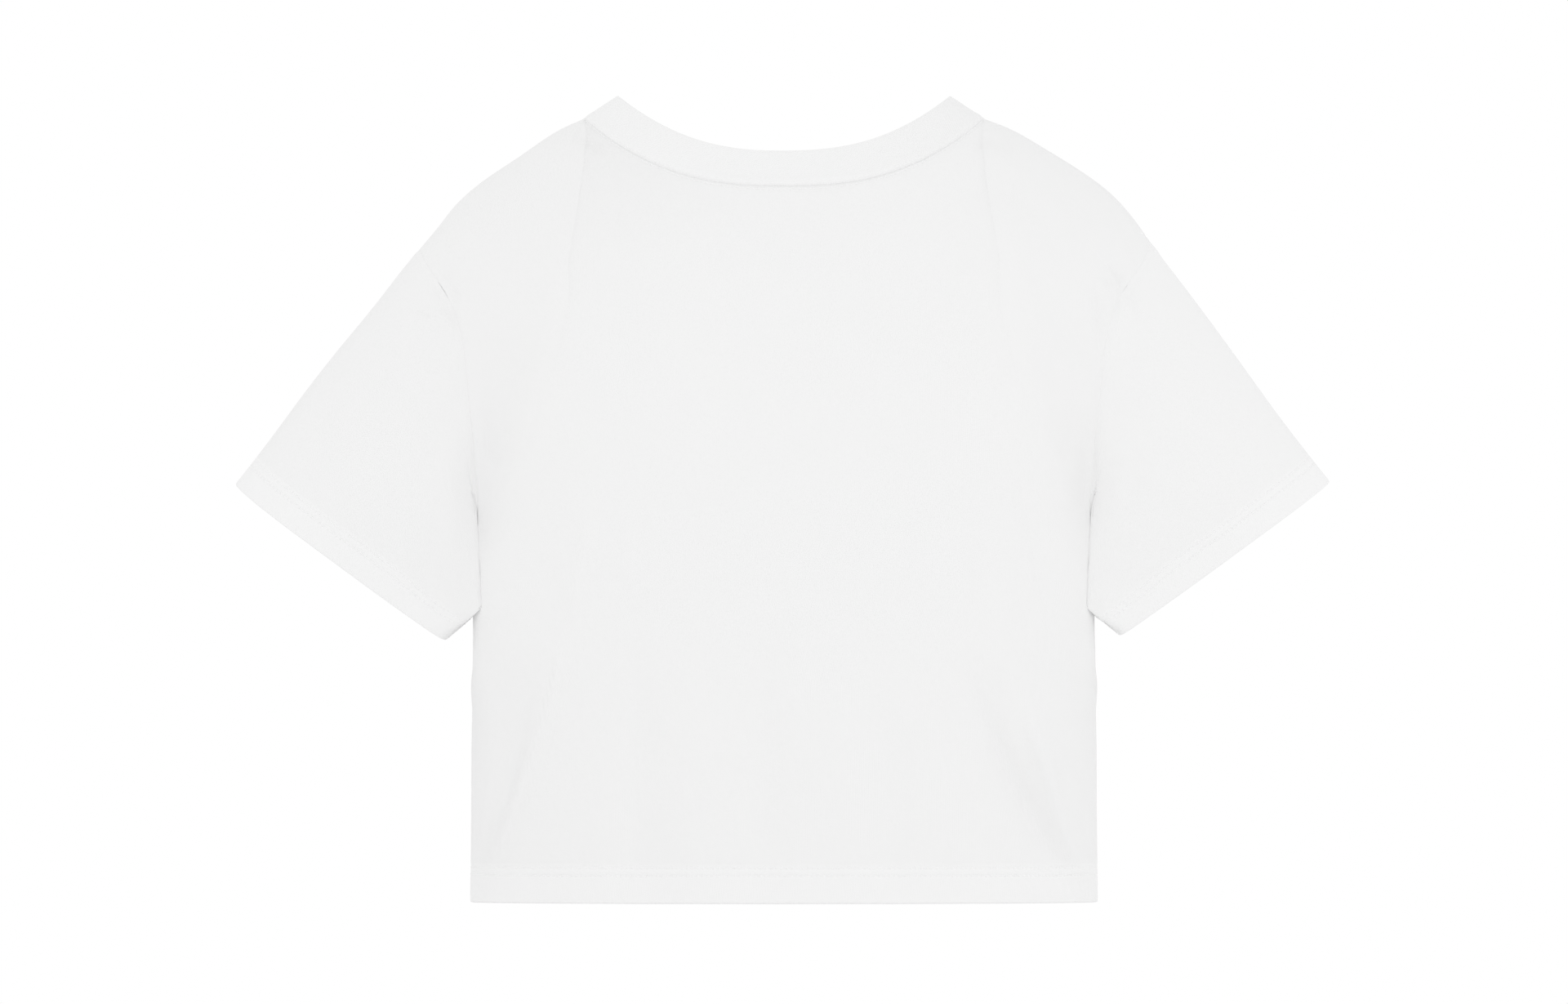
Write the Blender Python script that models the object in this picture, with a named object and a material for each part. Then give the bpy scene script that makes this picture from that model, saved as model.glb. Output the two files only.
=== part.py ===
"""A short, boxy t-shirt in white cotton jersey, filled out as it is worn, with no wearer.

Sizes are in millimetres and the scene is in metres. +Z is up, +Y is the wearer's front and +X
the wearer's right, so the back faces -Y. The origin lies midway between the two points where
the collar crosses the shoulder line, at their height: there the shoulders hold the garment.

The body is one hollow form that two panels share. At each height its section is a superellipse,
with a depth behind and a depth in front of the side seams, and over the shoulders the depth
closes in a quarter circle up to the shoulder line. The armholes and the neck are lines on that
form. A sleeve is a loft from its armhole to its cuff, and the collar a band above the neck seam.
Each piece is a wall: a grid of outer points, and the same grid moved inwards.
"""

from collections import namedtuple

import bpy
import numpy as np

METRES = 0.001

# Cloth
JERSEY = 1.2  # thickness of one layer, as it hangs
HEM = 2.2  # thickness of a turned-up hem, and of the folded collar rib
SEAM_GAP = 0.3  # between two pieces that are sewn together
LONGEST_MITRE = 2.0  # at a sharp seam the wall's edge is at most this many times as thick
TOUCHING = 1e-6  # a point nearer the side seams' plane than this is on it

# Body
SECTION_POWER = 2.3  # of the superellipse: 2 is an ellipse, more is boxier
SHOULDER_ROUND = 110  # the shoulders reach full depth this far under their line
SHOULDER_RISE = 0.55  # slope on which the shoulder line would go on across the neck
ARMPIT = -290
ARMHOLE_MIDDLE = -190  # the walls' ends round an armhole point to this height
ARMPIT_ROUND = 45  # the armholes reach full depth this far above the armpit
DENT_SHARE = 0.46  # the hollow under the arm reaches to this share of the section's depth
HEM_TOP = -459.5
BODY_HEM = -480

# Neck
NECK_WIDE, NECK_HIGH = 118.9, -13.4  # where the collar seam crosses the shoulder line
COLLAR_WIDE = 98.5  # half the width between the collar's two highest points
COLLAR_LEAN = 0.82  # depth of the collar's upper edge, as a share of its seam's
NeckLine = namedtuple("NeckLine", "seam_drop seam_power edge_drop edge_power")
NECK_LINES = {
    "back": NeckLine(seam_drop=40.2, seam_power=2.55, edge_drop=32.8, edge_power=2.45),
    "front": NeckLine(seam_drop=93.6, seam_power=2.3, edge_drop=88, edge_power=2.2),
}

# Sleeves
UNDERARM_BOW = 2  # the underarm keeps this close to the body midway, against a straight line
CUFF_BAND = 19
CUFF_DEPTH = 40  # half the cuff's opening from front to back
CUFF_POWER, UNDER_POWER = 2.3, 4  # of its superellipse above, and under the arm
UNDERARM_TURN = 16  # the underarm's fold turns this far towards the back
UNDERARM_TURNED = 0.8  # from this share of the sleeve's length on
Cuff = namedtuple("Cuff", "outer_x outer_z inner_x inner_z bow")
CUFFS = {
    "left": Cuff(outer_x=327, outer_z=-230.9, inner_x=201, inner_z=-323.3, bow=3),
    "right": Cuff(outer_x=325, outer_z=-229.9, inner_x=199.5, inner_z=-321.4, bow=1.6),
}
CUFF_HOLD = 6  # power by which the sleeve leaves the outline for its cuff's own corner

# Grid steps
ROW_CROWDING = 1.4  # rows crowd towards the neck and shoulders by this power
ARMHOLE_SHARE = 0.45  # columns in this outer share of the width follow the armhole's own rows
NECK_STEPS = 11  # columns from the middle of the neck to the shoulder line
SHOULDER_STEPS = 11  # columns from the collar to the armhole
YOKE_STEPS = 15  # rows from the shoulder to the armpit
SIDE_STEPS = 10  # rows from the armpit to the hem
SLEEVE_STEPS = 8
BAND_ROWS = (0.12, 1)  # rows over a hem, as shares of its height: it is two layers from the first
COLLAR_STEPS = 2

# Whites, from the photograph: two layers are a little lighter than one
COLOURS = {
    "back_panel": (0.87, 0.87, 0.87),
    "front_panel": (0.86, 0.86, 0.86),
    "sleeve_left": (0.87, 0.87, 0.87),
    "sleeve_right": (0.87, 0.87, 0.87),
    "collar": (0.89, 0.89, 0.89),
}


class Table:
    """Rows of numbers under named columns. A column is read as a smooth curve through its rows.

    The curve is a cubic between rows that never overshoots them. The first column is the place.
    """

    def __init__(self, columns, rows):
        self.columns = columns.split()
        self.values = np.array(sorted(rows), float)

    def at(self, column, place):
        x = self.values[:, 0]
        y = self.values[:, self.columns.index(column)]
        step, rise = np.diff(x), np.diff(y)
        slope = rise / step
        before, after = slope[:-1], slope[1:]
        both = np.where(before * after > 0, before * after, 0)
        inner = 2 * both / np.where(both > 0, before + after, 1)
        tangent = np.concatenate([slope[:1], inner, slope[-1:]])
        place = np.clip(np.asarray(place, float), x[0], x[-1])
        i = np.clip(np.searchsorted(x, place, side="right") - 1, 0, len(step) - 1)
        t = (place - x[i]) / step[i]
        start = y[i] + step[i] * tangent[i] * t * (1 - t) ** 2
        end = (3 - 2 * t) * rise[i] - step[i] * tangent[i + 1] * (1 - t)
        return start + t**2 * end


# The shoulder and the sleeve's upper edge, as seen from behind
OUTLINE = Table(
    "x left right",
    [
        (119, -13.4, -13.4),
        (134, -20.2, -19.2),
        (158, -36.2, -32.8),
        (182, -52.6, -48.2),
        (195, -64.2, -58.4),
        (207, -79.3, -71.5),
        (219, -93.7, -88.0),
        (243, -124.4, -119.0),
        (268, -154.4, -152.8),
        (292, -184.3, -185.8),
        (327, -230.9, -232.6),
    ],
)

# The body's sections: armhole is the share of the depth at which the armhole cuts them, before
# it rounds off at the armpit, and dent the hollow that leaves room for the underarm
BODY = Table(
    "height half_width back front armhole dent",
    [
        (0, 272, 60, 56, 0.58, 0),
        (-54, 263, 73.5, 65, 0.58, 0),
        (-95, 249.5, 86.5, 76, 0.58, 0),
        (-120, 234.5, 93, 84, 0.60, 0),
        (-150, 224.5, 99, 95, 0.605, 0),
        (-185, 219.5, 104, 106, 0.60, 0),
        (-205, 213, 106, 110, 0.575, 6),
        (-225, 206.5, 107, 113, 0.535, 12),
        (-245, 201.5, 108, 115, 0.505, 18),
        (-262, 199.5, 108, 116, 0.48, 25),
        (-290, 198.5, 108, 116, 0.44, 32),
        (-305, 197, 108, 116, 0.42, 29),
        (-330, 193.5, 108.5, 116, 0.42, 14),
        (-360, 187.5, 109, 116, 0.42, 2),
        (-400, 186.2, 109.5, 116, 0.42, 0),
        (-480, 186.9, 111, 117, 0.42, 0),
    ],
)

# Folds: each runs down a panel from its top to its low end, and rises outwards or sinks
Fold = namedtuple("Fold", "panel top_x top_z low_x low_z bow width rise")
FOLD_GROWS = 0.5  # share of its length over which a fold reaches its full rise
FOLD_FADES, FOLD_FADE = 0.85, 0.25  # it fades from this share on, over this one
FOLD_CLEAR = 25  # folds flatten over this distance from the side seams
FOLDS = (
    Fold("back", -131, -300, -176, -462, 6, 9, 4.5),
    Fold("back", -158, -322, -184, -470, 5, 12, -5.0),
    Fold("back", 108, -322, 165, -465, -4, 13, -5.0),
    Fold("back", 140, -330, 176, -465, -4, 8, 4.0),
    Fold("back", -88, -300, -84, -500, 0, 15, -2.4),
    Fold("back", -12, -285, -14, -500, 0, 19, -2.4),
    Fold("back", 63, -335, 66, -500, 0, 15, -2.0),
    Fold("back", 133, -215, 150, -380, 3, 11, -2.4),
    Fold("front", -122, -290, -168, -465, 6, 10, 4.2),
    Fold("front", -150, -320, -181, -470, 4, 12, -4.6),
    Fold("front", 118, -300, 170, -465, -5, 12, -4.8),
    Fold("front", 96, -296, 132, -470, -4, 10, 3.4),
    Fold("front", -60, -270, -66, -500, 0, 17, -3.0),
    Fold("front", 22, -255, 28, -500, 0, 18, -2.8),
)


def quarter(t):
    """Height of a quarter circle: 0 at t = 0, steep there, and 1 from t = 1 on."""
    return np.sqrt(1 - (1 - np.clip(t, 0, 1)) ** 2)


def smoothstep(t):
    t = np.clip(t, 0, 1)
    return t * t * (3 - 2 * t)


def unit(vectors):
    return vectors / np.linalg.norm(vectors, axis=-1, keepdims=True)


def other_axis(share):
    """The superellipse's second coordinate, from 1 down to 0, where the first one is share."""
    return (1 - np.clip(np.abs(share), 0, 1) ** SECTION_POWER) ** (1 / SECTION_POWER)


def shoulder_line(x):
    """Height of the shoulder line over x, carried on across the neck at one slope."""
    far = np.where(x < 0, OUTLINE.at("left", -x), OUTLINE.at("right", x))
    return np.where(np.abs(x) < NECK_WIDE, NECK_HIGH + SHOULDER_RISE * (NECK_WIDE - np.abs(x)), far)


def neck_seam(x, panel):
    """Height of the collar seam over x."""
    line = NECK_LINES[panel]
    return NECK_HIGH - line.seam_drop * (1 - np.clip(np.abs(x) / NECK_WIDE, 0, 1) ** line.seam_power)


def armhole_cut(z):
    """Share of the section's depth at which the armhole cuts it: 0 under the armpit."""
    return BODY.at("armhole", z) * quarter((z - ARMPIT) / ARMPIT_ROUND)


def half_width(z):
    """From the middle to the armhole or the side seam, before the hollow under the arm."""
    return BODY.at("half_width", z) * other_axis(armhole_cut(z))


def body_points(share, z, panel):
    """The body's outer surface at a share of its half width (-1 to 1) and a height."""
    section = share * other_axis(armhole_cut(z))
    depth = other_axis(section)
    hollow = BODY.at("dent", z) * (1 - np.clip(depth / DENT_SHARE, 0, 1) ** 2) ** 2
    x = BODY.at("half_width", z) * section - np.sign(share) * hollow
    out = BODY.at(panel, z) * depth * quarter((shoulder_line(x) - z) / SHOULDER_ROUND)
    return np.stack([x, -out if panel == "back" else out, np.broadcast_to(z, x.shape)], axis=-1)


def shoulder_point(side):
    """Distance out of the point where the armhole crosses the shoulder line."""
    z = -90.0
    for _ in range(40):
        z = float(OUTLINE.at(side, half_width(z)))
    return float(half_width(z))


def top_edge():
    """Places across at which the columns start: the neck seam, then the shoulder seam."""
    neck = NECK_WIDE * np.sin(np.linspace(-0.5, 0.5, 2 * NECK_STEPS + 1) * np.pi)
    along = np.linspace(0, 1, SHOULDER_STEPS + 1)[1:]
    left = -NECK_WIDE - (shoulder_point("left") - NECK_WIDE) * along
    right = NECK_WIDE + (shoulder_point("right") - NECK_WIDE) * along
    return np.concatenate([left[::-1], neck, right])


def fold_rise(points, panel):
    """How far the folds move each point of a panel outwards; 0 along the side seams."""
    x, z = points[..., 0], points[..., 2]
    rise = np.zeros(x.shape)
    for fold in FOLDS:
        if fold.panel != panel:
            continue
        along = (fold.top_z - z) / (fold.top_z - fold.low_z)
        middle = fold.top_x + (fold.low_x - fold.top_x) * along + 4 * fold.bow * along * (1 - along)
        ends = smoothstep(along / FOLD_GROWS) * (1 - smoothstep((along - FOLD_FADES) / FOLD_FADE))
        rise += fold.rise * ends * np.exp(-(((x - middle) / fold.width) ** 2))
    return rise * smoothstep(np.abs(points[..., 1]) / FOLD_CLEAR)


def panel_grid(panel):
    """Outer points of a panel: rows from the neck and shoulders down, columns from left to right."""
    x_top = top_edge()
    z_top = np.where(np.abs(x_top) < NECK_WIDE, neck_seam(x_top, panel), shoulder_line(x_top))
    at_top = x_top / half_width(z_top)
    at_top[[0, -1]] = -1, 1
    at_hem = np.sin(np.linspace(-0.5, 0.5, len(x_top)) * np.pi)
    t = np.linspace(0, 1, YOKE_STEPS + 1)[:, None]
    by_armhole = smoothstep(1 - (1 - np.abs(at_top)) / ARMHOLE_SHARE)
    fall = (1 - by_armhole) * t**ROW_CROWDING + by_armhole * (1 - np.cos(np.pi * t)) / 2
    yoke = z_top + (ARMPIT - z_top) * fall
    down = np.linspace(ARMPIT, HEM_TOP, SIDE_STEPS + 1)[1:]
    hem = HEM_TOP + (BODY_HEM - HEM_TOP) * np.array(BAND_ROWS)
    below = np.repeat(np.concatenate([down, hem])[:, None], len(x_top), axis=1)
    z = np.concatenate([yoke, below])
    spread = smoothstep((z_top - z) / (z_top - ARMPIT))
    share = at_top + (at_hem - at_top) * spread
    grid = body_points(share, z, panel)
    normals = grid_normals(grid, False)
    if panel == "front":
        normals = -normals
    return grid + normals * fold_rise(grid, panel)[..., None]


def grid_normals(grid, ring):
    """Unit normals of a grid, across its rows and columns; a ring's columns close on themselves."""
    if ring:
        across = np.roll(grid, -1, axis=1) - np.roll(grid, 1, axis=1)
    else:
        across = np.gradient(grid, axis=1)
    return unit(np.cross(np.gradient(grid, axis=0), across))


def armhole_ring(back, front, side):
    """The armhole's points: down the back from the shoulder point, then up the front."""
    column = 0 if side == "left" else -1
    down = back[: YOKE_STEPS + 1, column]
    up = front[1:YOKE_STEPS, column][::-1]
    return np.concatenate([down, up])


def ring_turns(ring):
    """How far round each point of a ring lies, with half a turn between its top and its armpit."""
    half = YOKE_STEPS
    length = np.linalg.norm(np.diff(np.concatenate([ring, ring[:1]]), axis=0), axis=1)
    gone = np.concatenate([[0], np.cumsum(length)])
    down = 0.5 * gone[: half + 1] / gone[half]
    up = 0.5 + 0.5 * (gone[half + 1 : -1] - gone[half]) / (gone[-1] - gone[half])
    return np.concatenate([down, up])


def cuff_ring(cuff, sign, turn):
    """The cuff's points at each turn: a superellipse that can bow out along the sleeve."""
    power = CUFF_POWER + (UNDER_POWER - CUFF_POWER) * (1 - np.cos(turn)) / 2
    up, out = (np.sign(v) * np.abs(v) ** (2 / power) for v in (np.cos(turn), -np.sin(turn)))
    outer = np.array([sign * cuff.outer_x, 0, cuff.outer_z])
    inner = np.array([sign * cuff.inner_x, 0, cuff.inner_z])
    inwards = unit(np.cross(outer - inner, [0, sign, 0]))
    ring = (outer + inner) / 2 + up[:, None] * (outer - inner) / 2
    return ring + out[:, None] * [0, CUFF_DEPTH, 0] - (cuff.bow * np.abs(out))[:, None] * inwards


def sleeve_grid(back, front, side):
    """Outer points of a sleeve: rows from the armhole to the cuff, columns round it."""
    sign = -1 if side == "left" else 1
    start = armhole_ring(back, front, side)
    turn = 2 * np.pi * ring_turns(start)
    end = cuff_ring(CUFFS[side], sign, turn)
    band = 1 - CUFF_BAND / np.linalg.norm(end - start, axis=1)
    sleeve = np.linspace(0, 1, SLEEVE_STEPS + 1)[:, None] * band
    share = np.concatenate([sleeve, band + np.array(BAND_ROWS)[:, None] * (1 - band)])
    grid = start + share[..., None] * (end - start)
    upper = (1 + np.cos(turn)) / 2
    edge = start[0] + share[..., None] * (end[0] - start[0])
    grid[..., 2] += upper * (OUTLINE.at(side, np.abs(edge[..., 0])) - edge[..., 2]) * (1 - share**CUFF_HOLD)
    grid[..., 0] -= sign * (1 - upper) * UNDERARM_BOW * 4 * share * (1 - share)
    grid[..., 1] -= (1 - upper) ** 2 * UNDERARM_TURN * smoothstep(share / UNDERARM_TURNED)
    return grid


def collar_grid(back, front):
    """Outer points of the collar: rows from its seam up to its edge, columns round it."""
    seam = np.concatenate([back[0, NECK], front[0, NECK][-2:0:-1]])
    at = np.clip(seam[:, 0] / NECK_WIDE, -1, 1)
    drops = {
        name: -line.edge_drop * (1 - np.abs(at) ** line.edge_power) for name, line in NECK_LINES.items()
    }
    high = np.where(seam[:, 1] < 0, drops["back"], drops["front"])
    edge = np.stack([COLLAR_WIDE * at, COLLAR_LEAN * seam[:, 1], high], axis=-1)
    share = np.linspace(0, 1, COLLAR_STEPS + 1)[:, None, None]
    return (1 - share) * seam + share * edge


def share_seam_directions(pieces):
    """Gives points that pieces share at a seam one direction inwards, so that the walls' ends meet.

    It is the mean of the pieces' own, in which two panels beside a third piece count half each.
    Round an armhole, where the walls fold back sharply, it is the way to the armhole's middle.
    """
    points = np.concatenate([piece.grid.reshape(-1, 3) for piece in pieces])
    normals = np.concatenate([piece.normals.reshape(-1, 3) for piece in pieces])
    weight = np.concatenate([np.full(piece.size, 1 if piece.ring else 0.5) for piece in pieces])
    weight[np.abs(points[:, 1]) > TOUCHING] = 1
    _, place = np.unique(np.round(points, 3), axis=0, return_inverse=True)
    place = place.reshape(-1)
    total = np.zeros((place.max() + 1, 3))
    np.add.at(total, place, weight[:, None] * normals)
    starts = np.cumsum([0] + [piece.size for piece in pieces])
    for piece, start in zip(pieces, starts):
        if piece.hub is not None:
            ring = place[start : start + piece.grid.shape[1]]
            total[ring] = piece.grid[0] - piece.hub
    inward = -unit(total)[place]
    for piece, start in zip(pieces, starts):
        piece.inward = inward[start : start + piece.size].reshape(piece.grid.shape)


NECK = slice(SHOULDER_STEPS, SHOULDER_STEPS + 2 * NECK_STEPS + 1)
PANEL_SEAMS = (
    (0, slice(0, SHOULDER_STEPS + 1)),
    (0, NECK),
    (0, slice(SHOULDER_STEPS + 2 * NECK_STEPS, None)),
    (slice(0, YOKE_STEPS + 1), 0),
    (slice(0, YOKE_STEPS + 1), -1),
    (slice(YOKE_STEPS, None), 0),
    (slice(YOKE_STEPS, None), -1),
)
RING_SEAM = ((0, slice(None)),)


class Piece:
    """One cut piece of cloth: its outer grid, how thick it is at each row, and its seams.

    A seam is a stretch of the grid's edge. A ring's only seam is its first row.
    """

    def __init__(self, name, grid, thick, seams=PANEL_SEAMS, hub=None):
        self.name, self.grid, self.seams, self.hub = name, grid, seams, hub
        self.ring = seams == RING_SEAM
        self.size = grid.shape[0] * grid.shape[1]
        self.thick = np.asarray(thick, float)[:, None, None]
        normals = grid_normals(grid, self.ring)
        self.middle = grid.mean(axis=(0, 1))
        axis = grid.mean(axis=1, keepdims=True) if self.ring else grid * [0, 0, 1]
        self.turned = (normals * (grid - axis)).sum() < 0
        self.normals = -normals if self.turned else normals

    def set_back(self):
        """Moves each sewn edge off its seam by half the gap, towards the piece's middle."""
        moved = self.grid.copy()
        for seam in self.seams:
            line, inward = self.grid[seam], self.inward[seam]
            if self.ring:
                along = np.roll(line, -1, axis=0) - np.roll(line, 1, axis=0)
            else:
                along = np.gradient(line, axis=0)
            across = unit(np.cross(along, inward))
            across *= np.sign((across * (self.middle - line)).sum(axis=1, keepdims=True))
            moved[seam] += across * SEAM_GAP / 2
        return moved

    def wall(self):
        """Outer and inner points of the cloth."""
        outer = self.set_back()
        facing = -(self.inward * self.normals).sum(axis=-1, keepdims=True)
        mitre = 1 / np.clip(facing, 1 / LONGEST_MITRE, 1)
        return outer, outer + self.inward * self.thick * mitre

    def faces(self):
        rows, columns = self.grid.shape[:2]
        index = np.arange(rows * columns).reshape(rows, columns)
        if self.ring:
            index = np.concatenate([index, index[:, :1]], axis=1)
        inner = index + rows * columns
        strips = [(index[:-1], index[1:]), (inner[1:], inner[:-1]), (inner[:1], index[:1])]
        strips.append((index[-1:], inner[-1:]))
        quads = [quads_between(above, below) for above, below in strips]
        if not self.ring:
            quads.append(quads_between(inner[:, 0][None], index[:, 0][None])[:, ::-1])
            quads.append(quads_between(index[:, -1][None], inner[:, -1][None])[:, ::-1])
        quads = np.concatenate(quads)
        return quads[:, ::-1] if self.turned else quads


def quads_between(above, below):
    """Quads between rows of point numbers, facing as the cross product of down and across."""
    corners = (above[:, :-1], below[:, :-1], below[:, 1:], above[:, 1:])
    return np.stack(corners, axis=-1).reshape(-1, 4)


def cloth_material(name, colour):
    """Matt white cotton."""
    material = bpy.data.materials.new(name)
    material.use_nodes = True
    shader = material.node_tree.nodes["Principled BSDF"]
    shader.inputs["Base Color"].default_value = (*colour, 1)
    shader.inputs["Roughness"].default_value = 0.9
    shader.inputs["Metallic"].default_value = 0
    return material


def add_cloth(piece, colour, collection):
    """Makes a piece's solid."""
    outer, inner = piece.wall()
    points = np.concatenate([outer.reshape(-1, 3), inner.reshape(-1, 3)]) * METRES
    mesh = bpy.data.meshes.new(piece.name)
    mesh.from_pydata(points.tolist(), [], piece.faces().tolist())
    mesh.shade_smooth()
    mesh.set_sharp_from_angle(angle=np.radians(50))
    mesh.materials.append(cloth_material(piece.name + "_cloth", colour))
    collection.objects.link(bpy.data.objects.new(piece.name, mesh))


def row_thickness(rows):
    """One layer down a panel or a sleeve, and two over its hem."""
    return [JERSEY] * (rows - len(BAND_ROWS)) + [HEM] * len(BAND_ROWS)


def main():
    """Builds the five pieces in their own collection."""
    for old in list(bpy.data.objects):
        bpy.data.objects.remove(old, do_unlink=True)
    collection = bpy.data.collections.new("t_shirt")
    bpy.context.scene.collection.children.link(collection)
    back, front = panel_grid("back"), panel_grid("front")
    collar = collar_grid(back, front)
    pieces = [
        Piece("back_panel", back, row_thickness(len(back))),
        Piece("front_panel", front, row_thickness(len(front))),
        Piece("collar", collar, [HEM] * len(collar), RING_SEAM),
    ]
    for side in ("left", "right"):
        grid = sleeve_grid(back, front, side)
        hub = np.array([grid[0, 0, 0], 0, ARMHOLE_MIDDLE])
        thick = row_thickness(len(grid))
        pieces.append(Piece("sleeve_" + side, grid, thick, RING_SEAM, hub))
    share_seam_directions(pieces)
    for piece in pieces:
        add_cloth(piece, COLOURS[piece.name], collection)


main()
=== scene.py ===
"""The visible t-shirt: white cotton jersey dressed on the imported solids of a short, boxy tee.

Sizes are in millimetres and the scene is in metres, in the part's own frame: +Z is up, +Y the
wearer's front and +X the wearer's right, so the back faces -Y.

Each cut piece is a shell on its solid's own form. A form is a function of two numbers on a grid,
one down the cloth and one across it. Creases, seams and stitch lines raise or sink it along its
normals, and then the cloth is folded over at its hem and runs back up inside as the inner face.
Only the sleeves' lower corners leave the solids' form, where they lean on the body.
"""

from collections import namedtuple

import bpy
import numpy as np
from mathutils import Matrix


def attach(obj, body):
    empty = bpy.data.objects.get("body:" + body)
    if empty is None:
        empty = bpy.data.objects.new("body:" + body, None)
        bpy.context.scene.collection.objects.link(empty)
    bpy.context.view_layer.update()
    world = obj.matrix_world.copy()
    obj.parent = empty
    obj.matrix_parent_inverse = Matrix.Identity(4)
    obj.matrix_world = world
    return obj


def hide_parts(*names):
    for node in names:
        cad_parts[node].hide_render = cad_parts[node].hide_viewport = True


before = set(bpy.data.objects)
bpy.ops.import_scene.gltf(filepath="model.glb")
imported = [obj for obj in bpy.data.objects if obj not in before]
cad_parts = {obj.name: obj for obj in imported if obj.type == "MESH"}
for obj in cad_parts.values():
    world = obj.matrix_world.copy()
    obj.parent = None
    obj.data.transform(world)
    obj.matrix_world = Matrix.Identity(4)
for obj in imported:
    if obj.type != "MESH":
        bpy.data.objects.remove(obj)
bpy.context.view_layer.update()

METRES = 0.001

# ---------------------------------------------------------------- the form, as its solids have it

SECTION_POWER = 2.3
SHOULDER_ROUND = 110
SHOULDER_RISE = 0.55
ARMPIT = -290
ARMHOLE_MIDDLE = -190
ARMPIT_ROUND = 45
DENT_SHARE = 0.46
BODY_HEM = -480
LONGEST_MITRE = 2.0
TOUCHING = 1e-6
SHARED_DECIMALS = 3  # points that pieces share agree in these decimals

NECK_WIDE, NECK_HIGH = 118.9, -13.4
COLLAR_WIDE = 98.5
COLLAR_LEAN = 0.82
NeckLine = namedtuple("NeckLine", "seam_drop seam_power edge_drop edge_power")
NECK_LINES = {
    "back": NeckLine(seam_drop=40.2, seam_power=2.55, edge_drop=32.8, edge_power=2.45),
    "front": NeckLine(seam_drop=93.6, seam_power=2.3, edge_drop=88, edge_power=2.2),
}

UNDERARM_BOW = 2
UNDERARM_TURN, UNDERARM_TURNED = 16, 0.8
FOLD_TURN, FOLD_TURN_HOLD = 13, 8  # the cloth's own fold under the arm turns further back
LEAN_CLEAR = -0.3  # between a sleeve's cloth and the body it leans on
LEAN_TOP, LEAN_FADE, LEAN_FOLD = 0.5, 0.2, 0.12  # of a half turn, from the fold under the arm
LEAN_START, LEAN_GROWS, LEAN_END = 0.01, 0.15, 0.25  # of the sleeve's length
CUFF_DEPTH = 40
CUFF_POWER, UNDER_POWER = 2.3, 4
CUFF_HOLD = 6
Cuff = namedtuple("Cuff", "outer_x outer_z inner_x inner_z bow")
CUFFS = {
    "left": Cuff(outer_x=327, outer_z=-230.9, inner_x=201, inner_z=-323.3, bow=3),
    "right": Cuff(outer_x=325, outer_z=-229.9, inner_x=199.5, inner_z=-321.4, bow=1.6),
}

# Grid steps
ROW_CROWDING = 1.4
EDGE_CROWDING = 1.3
ARMHOLE_SHARE = 0.45
NECK_STEPS = 60
SHOULDER_STEPS = 36
YOKE_STEPS = 110
SIDE_STEPS = 84
SLEEVE_STEPS = 86
COLLAR_STEPS = 22
RIM_STEPS = 6
BAND_CLEAR = 3  # the crowded rows of a hem start this far above its turned-up edge
NECK = slice(SHOULDER_STEPS, SHOULDER_STEPS + 2 * NECK_STEPS + 1)  # a panel's columns at its neck
SHOULDER_GUESS, SHOULDER_TRIES = -90.0, 40

# Cloth
JERSEY = 1.0
HEM = 2.0
COLLAR = 2.2
BODY_BAND, CUFF_BAND = 22.6, 20.6  # height of the cloth that is turned up inside
BODY_STITCHES = (16.6, 21.2)  # the two needle rows above the hem's edge
CUFF_STITCHES = (14.6, 19.2)
NECK_STITCHES = 2.4  # below the collar's seam
BAND_ROWS = 28


class Table:
    """Rows of numbers under named columns. A column is read as a smooth curve through its rows.

    The curve is a cubic between rows that never overshoots them. The first column is the place.
    """

    def __init__(self, columns, rows):
        self.columns = columns.split()
        self.values = np.array(sorted(rows), float)

    def at(self, column, place):
        x = self.values[:, 0]
        y = self.values[:, self.columns.index(column)]
        step, rise = np.diff(x), np.diff(y)
        slope = rise / step
        before, after = slope[:-1], slope[1:]
        both = np.where(before * after > 0, before * after, 0)
        inner = 2 * both / np.where(both > 0, before + after, 1)
        tangent = np.concatenate([slope[:1], inner, slope[-1:]])
        place = np.clip(np.asarray(place, float), x[0], x[-1])
        i = np.clip(np.searchsorted(x, place, side="right") - 1, 0, len(step) - 1)
        t = (place - x[i]) / step[i]
        start = y[i] + step[i] * tangent[i] * t * (1 - t) ** 2
        end = (3 - 2 * t) * rise[i] - step[i] * tangent[i + 1] * (1 - t)
        return start + t**2 * end


OUTLINE = Table(
    "x left right",
    [
        (119, -13.4, -13.4),
        (134, -20.2, -19.2),
        (158, -36.2, -32.8),
        (182, -52.6, -48.2),
        (195, -64.2, -58.4),
        (207, -79.3, -71.5),
        (219, -93.7, -88.0),
        (243, -124.4, -119.0),
        (268, -154.4, -152.8),
        (292, -184.3, -185.8),
        (327, -230.9, -232.6),
    ],
)

BODY = Table(
    "height half_width back front armhole dent",
    [
        (0, 272, 60, 56, 0.58, 0),
        (-54, 263, 73.5, 65, 0.58, 0),
        (-95, 249.5, 86.5, 76, 0.58, 0),
        (-120, 234.5, 93, 84, 0.60, 0),
        (-150, 224.5, 99, 95, 0.605, 0),
        (-185, 219.5, 104, 106, 0.60, 0),
        (-205, 213, 106, 110, 0.575, 6),
        (-225, 206.5, 107, 113, 0.535, 12),
        (-245, 201.5, 108, 115, 0.505, 18),
        (-262, 199.5, 108, 116, 0.48, 25),
        (-290, 198.5, 108, 116, 0.44, 32),
        (-305, 197, 108, 116, 0.42, 29),
        (-330, 193.5, 108.5, 116, 0.42, 14),
        (-360, 187.5, 109, 116, 0.42, 2),
        (-400, 186.2, 109.5, 116, 0.42, 0),
        (-480, 186.9, 111, 117, 0.42, 0),
    ],
)

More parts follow.
